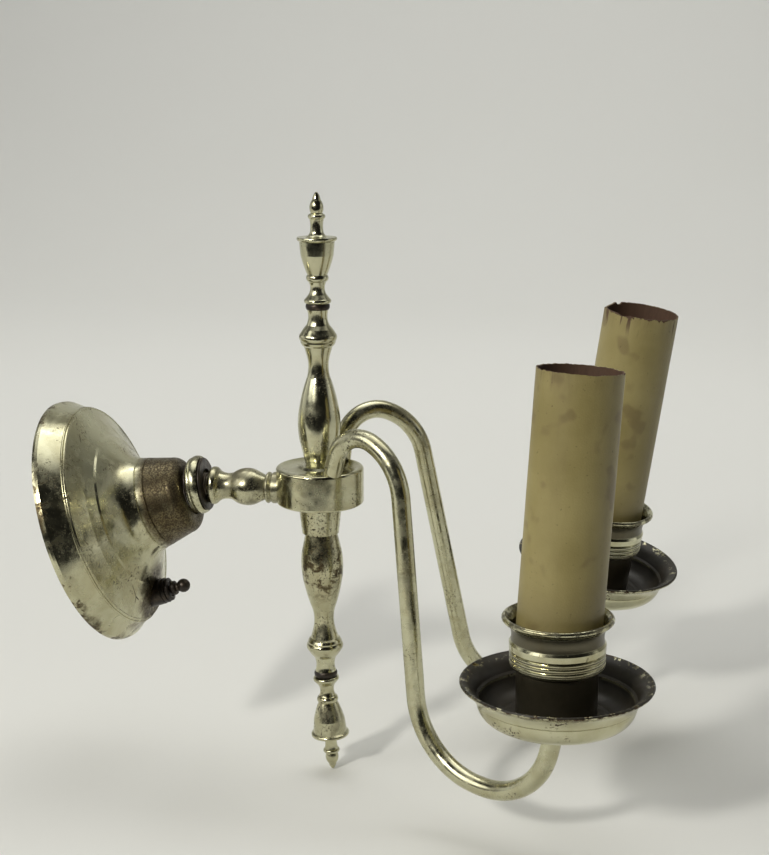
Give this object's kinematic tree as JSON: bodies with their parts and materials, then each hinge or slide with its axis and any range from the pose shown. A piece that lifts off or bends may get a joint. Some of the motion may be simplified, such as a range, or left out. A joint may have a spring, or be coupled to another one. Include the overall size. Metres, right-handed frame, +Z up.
{
  "type": "wall sconce",
  "caption": "Electric wall sconce with a round bell canopy, turned spindle, S-curved arms, drip pans and mock candle sleeves.",
  "frame": {"origin": "middle of the crossbar's back face, on the stem's axis, in the wall plane", "axes": "+Z up the spindle, -Y out from the wall, +X to the right when facing the wall"},
  "size_m": [0.2067, 0.2631, 0.2458],
  "materials": {
    "silver_plate": "worn silver plate over brass, tarnished",
    "blackened_brass": "oxidised nearly black",
    "bare_brass": "dull",
    "zinc_steel": "dull zinc plate with brown stain",
    "green_screw": "green earth screw",
    "phenolic": "satin phenolic",
    "lead_insulation": "matt",
    "sleeve_paper": "painted paper, worn at the top edge"
  },
  "bodies": {
    "frame": {"ground_screw": "green_screw", "hub_body": "silver_plate", "hub_bottom_cover": "silver_plate", "left_arm_coupling": "silver_plate", "left_arm_tube": "silver_plate", "left_centre_contact": "bare_brass", "left_cup": "silver_plate", "left_cup_locknut": "zinc_steel", "left_cup_nipple": "zinc_steel", "left_lead": "lead_insulation", "left_pan": "silver_plate", "left_screw_shell": "bare_brass", "left_socket_body": "phenolic", "left_socket_strap": "zinc_steel", "lower_baluster": "silver_plate", "lower_check_ring": "blackened_brass", "lower_collar": "silver_plate", "lower_finial": "silver_plate", "lower_spindle_rod": "zinc_steel", "lower_urn": "silver_plate", "nipple_locknut": "zinc_steel", "right_arm_coupling": "silver_plate", "right_arm_tube": "silver_plate", "right_centre_contact": "bare_brass", "right_cup": "silver_plate", "right_cup_locknut": "zinc_steel", "right_cup_nipple": "zinc_steel", "right_lead": "lead_insulation", "right_pan": "silver_plate", "right_screw_shell": "bare_brass", "right_socket_body": "phenolic", "right_socket_strap": "zinc_steel", "stem_baluster": "silver_plate", "stem_nipple": "zinc_steel", "upper_baluster": "silver_plate", "upper_check_ring": "blackened_brass", "upper_finial": "silver_plate", "upper_spindle_rod": "zinc_steel", "upper_urn": "silver_plate", "wall_crossbar": "zinc_steel"},
    "canopy": {"canopy_shell": "silver_plate", "switch_body": "phenolic", "switch_nut": "blackened_brass"},
    "switch_knob_body": {"switch_knob": "blackened_brass"},
    "lock_ring": {"canopy_lock_ring": "silver_plate", "lock_ring_washers": "blackened_brass"},
    "left_sleeve_body": {"left_sleeve": "sleeve_paper"},
    "right_sleeve_body": {"right_sleeve": "sleeve_paper"}
  },
  "joints": [
    {"name": "canopy_tilt", "type": "hinge", "parent": "frame", "child": "canopy", "pos_m": [0, -0.05683, 0.00222], "axis": [1, 0, 0], "range_deg": [0, 17.8]},
    {"name": "ring_tilt", "type": "hinge", "parent": "frame", "child": "lock_ring", "pos_m": [0, -0.0498, 0], "axis": [1, 0, 0], "range_deg": [0, 9]},
    {"name": "switch_turn", "type": "hinge", "parent": "canopy", "child": "switch_knob_body", "pos_m": [0, -0.0339, -0.04717], "axis": [0, -0.9521, 0.3057], "continuous": true},
    {"name": "left_sleeve_lift", "type": "slide", "parent": "frame", "child": "left_sleeve_body", "axis": [0.067, -0.054, 0.9963], "range_m": [0, 0.1]},
    {"name": "right_sleeve_lift", "type": "slide", "parent": "frame", "child": "right_sleeve_body", "axis": [-0.0579, -0.1346, 0.9892], "range_m": [0, 0.1]}
  ],
  "couplings": [
    {"joint": "ring_tilt", "follows": "canopy_tilt", "ratio": 0.505}
  ]
}
